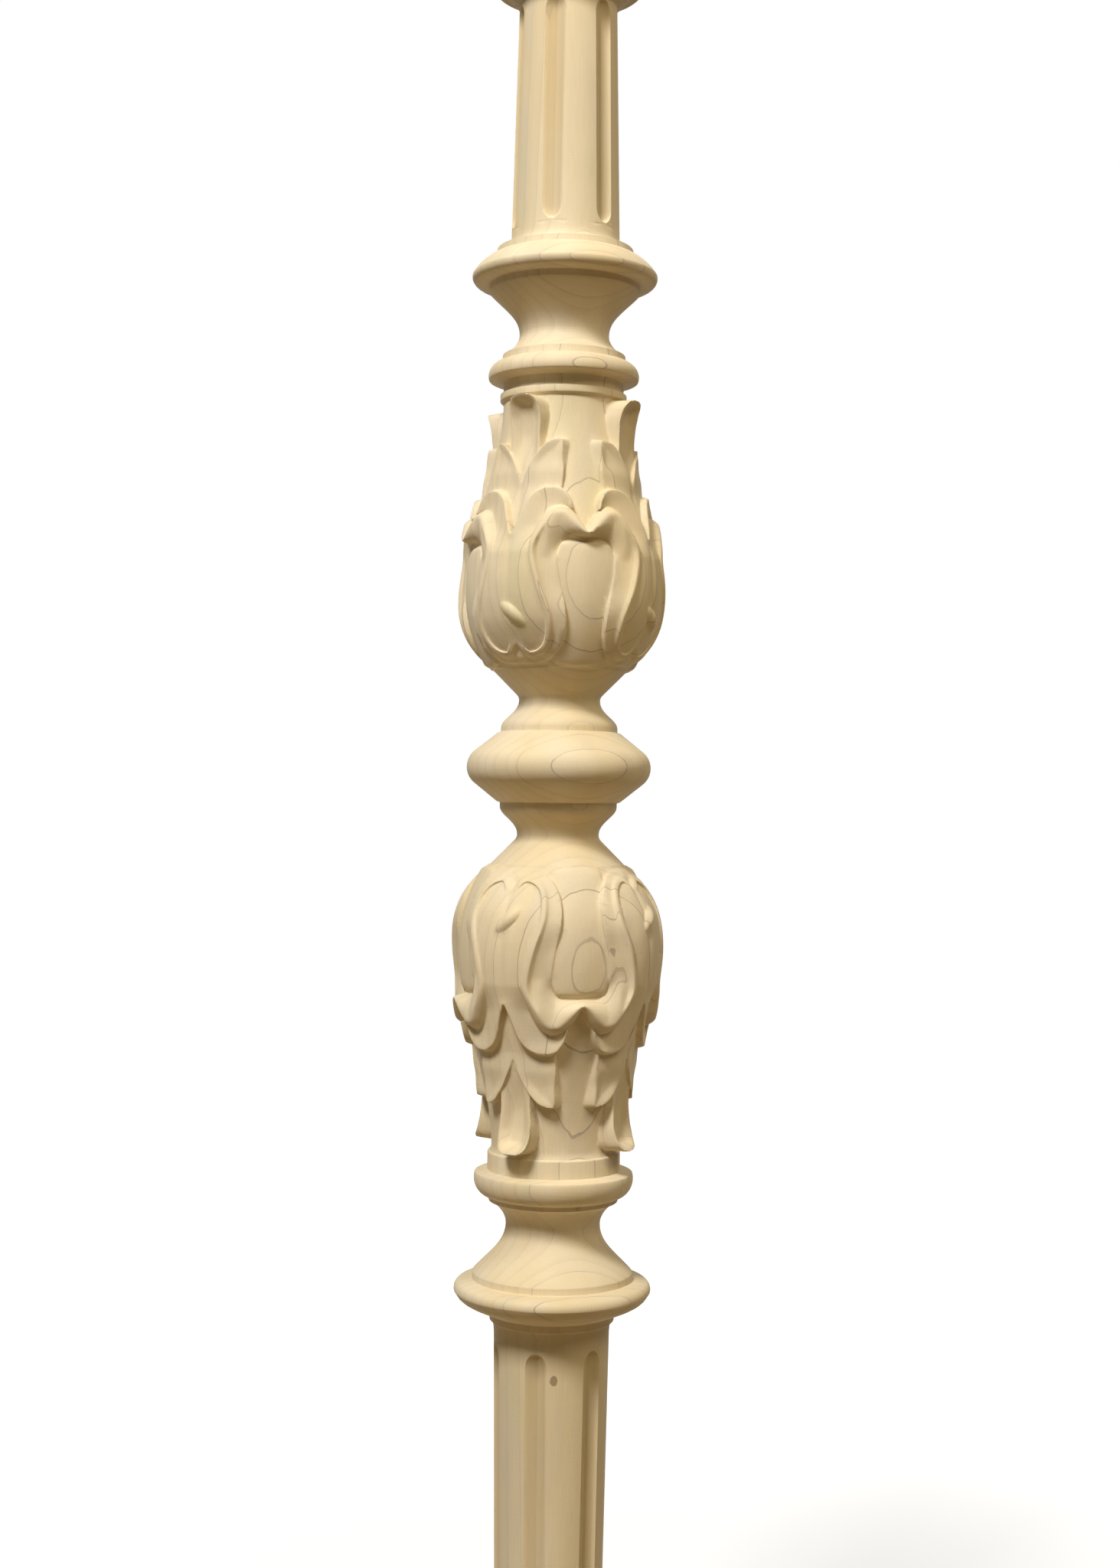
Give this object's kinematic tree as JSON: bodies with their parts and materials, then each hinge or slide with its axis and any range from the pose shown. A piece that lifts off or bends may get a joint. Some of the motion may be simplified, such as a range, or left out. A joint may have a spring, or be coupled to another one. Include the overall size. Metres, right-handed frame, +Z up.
{
  "type": "turned and carved wooden baluster",
  "caption": "Turned wooden baluster with leaf-carved bulbs beside a middle bead, moulded rings, fluted shafts and square end blocks.",
  "frame": {"origin": "centre of the foot, on the surface that the baluster stands on", "axes": "+Z up along the turning axis, X and Y square to the faces of the end blocks"},
  "size_m": [0.09, 0.09, 0.93],
  "materials": {
    "baluster": "raw, unfinished pale hardwood, turned, carved and lightly sanded, with fine dark growth lines"
  },
  "bodies": {
    "root": {"baluster": "baluster"}
  },
  "joints": []
}
